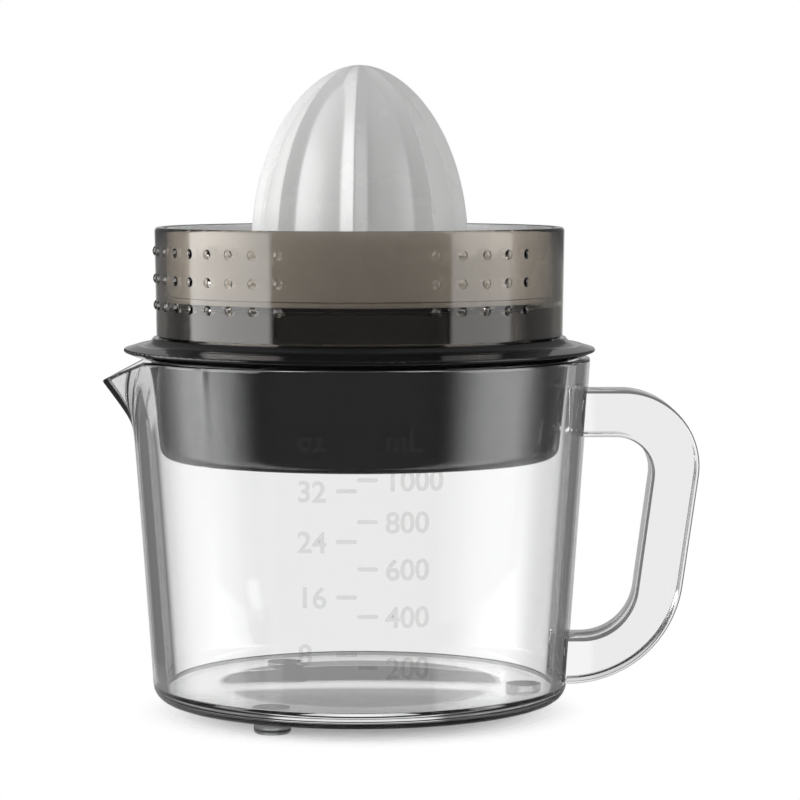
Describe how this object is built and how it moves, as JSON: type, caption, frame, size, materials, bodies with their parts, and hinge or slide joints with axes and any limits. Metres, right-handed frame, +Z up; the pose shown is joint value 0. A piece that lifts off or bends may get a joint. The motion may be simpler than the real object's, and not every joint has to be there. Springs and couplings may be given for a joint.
{
  "type": "electric citrus press juicer",
  "caption": "Electric citrus press: clear measuring jug with beak spout and loop handle, drop-in motor unit, smoked pulp ring around a strainer, ribbed reamer cone.",
  "frame": {"origin": "on the table under the middle of the outline; the jug's axis stands at x = -13.4 mm", "axes": "+Z up, +X towards the handle, -X towards the spout, -Y is the front with the scale"},
  "size_m": [0.1976, 0.1564, 0.2146],
  "materials": {
    "clear_plastic": "clear, polished",
    "smoked_plastic": "translucent smoke, polished",
    "white_plastic": "satin gloss",
    "black_plastic": "polished",
    "gear_plastic": "natural acetal",
    "bobbin_plastic": "glass-filled nylon",
    "switch_plastic": "moulded",
    "button_plastic": "moulded",
    "foot_rubber": "soft grey",
    "black_rubber": "moulded",
    "steel": "ground",
    "plate_steel": "zinc plated",
    "core_steel": "stacked laminations",
    "copper": "enamelled wire",
    "bronze": "sintered",
    "magnet": "ferrite"
  },
  "bodies": {
    "jug_body": {"jug": "clear_plastic", "handle": "clear_plastic", "jug_feet": "foot_rubber"},
    "motor_unit": {"lip_ring": "black_plastic", "spigot_ring": "black_plastic", "upper_housing": "black_plastic", "hub": "black_plastic", "lower_housing": "black_plastic", "housing_screws": "steel", "cord_gland": "black_rubber", "gear_plate": "plate_steel", "motor_core": "core_steel", "coil_bobbins": "bobbin_plastic", "motor_coils": "copper", "core_bolts": "steel", "core_spacers": "plate_steel", "rotor_bushes": "bronze", "gear_axles": "steel", "shaft_bushes": "bronze", "shaft_seal": "black_rubber", "return_spring": "steel", "press_switch": "switch_plastic"},
    "rotor_body": {"rotor": "magnet", "rotor_shaft": "steel", "motor_pinion": "gear_plastic"},
    "first_gear_body": {"first_gear": "gear_plastic"},
    "second_gear_body": {"second_gear": "gear_plastic"},
    "press_body": {"thrust_pad": "gear_plastic", "switch_button": "button_plastic"},
    "spindle": {"drive_shaft": "steel", "output_gear": "gear_plastic", "shaft_clip": "steel"},
    "cone": {"reamer_cone": "white_plastic"},
    "strainer_body": {"strainer": "white_plastic"},
    "ring_body": {"twist_ring": "smoked_plastic", "pulp_shutter": "white_plastic"}
  },
  "joints": [
    {"name": "motor_lift", "type": "slide", "parent": "jug_body", "child": "motor_unit", "axis": [0, 0, 1], "range_m": [0, 0.125]},
    {"name": "strainer_lift", "type": "slide", "parent": "motor_unit", "child": "strainer_body", "axis": [0, 0, 1], "range_m": [0, 0.095]},
    {"name": "pulp_twist", "type": "hinge", "parent": "strainer_body", "child": "ring_body", "pos_m": [-0.0134, 0, 0.14], "axis": [0, 0, 1], "range_deg": [0, 15]},
    {"name": "cone_press", "type": "slide", "parent": "motor_unit", "child": "press_body", "axis": [0, 0, -1], "range_m": [0, 0.002], "stiffness_N_per_m": 3000, "springref_m": -0.004, "deforming": ["return_spring"]},
    {"name": "spindle_spin", "type": "hinge", "parent": "press_body", "child": "spindle", "pos_m": [-0.0134, 0, 0.12], "axis": [0, 0, 1], "continuous": true},
    {"name": "cone_lift", "type": "slide", "parent": "spindle", "child": "cone", "axis": [0, 0, 1], "range_m": [0, 0.03]},
    {"name": "second_gear_spin", "type": "hinge", "parent": "motor_unit", "child": "second_gear_body", "pos_m": [-0.03808, 0.01425, 0.116], "axis": [0, 0, 1], "continuous": true},
    {"name": "first_gear_spin", "type": "hinge", "parent": "motor_unit", "child": "first_gear_body", "pos_m": [-0.05279, -0.00317, 0.113], "axis": [0, 0, 1], "continuous": true},
    {"name": "rotor_spin", "type": "hinge", "parent": "motor_unit", "child": "rotor_body", "pos_m": [-0.0464, -0.02, 0.1], "axis": [0, 0, 1], "continuous": true}
  ],
  "couplings": [
    {"joint": "second_gear_spin", "follows": "spindle_spin", "ratio": -3.75},
    {"joint": "first_gear_spin", "follows": "spindle_spin", "ratio": 14.062},
    {"joint": "rotor_spin", "follows": "spindle_spin", "ratio": -56.25}
  ]
}
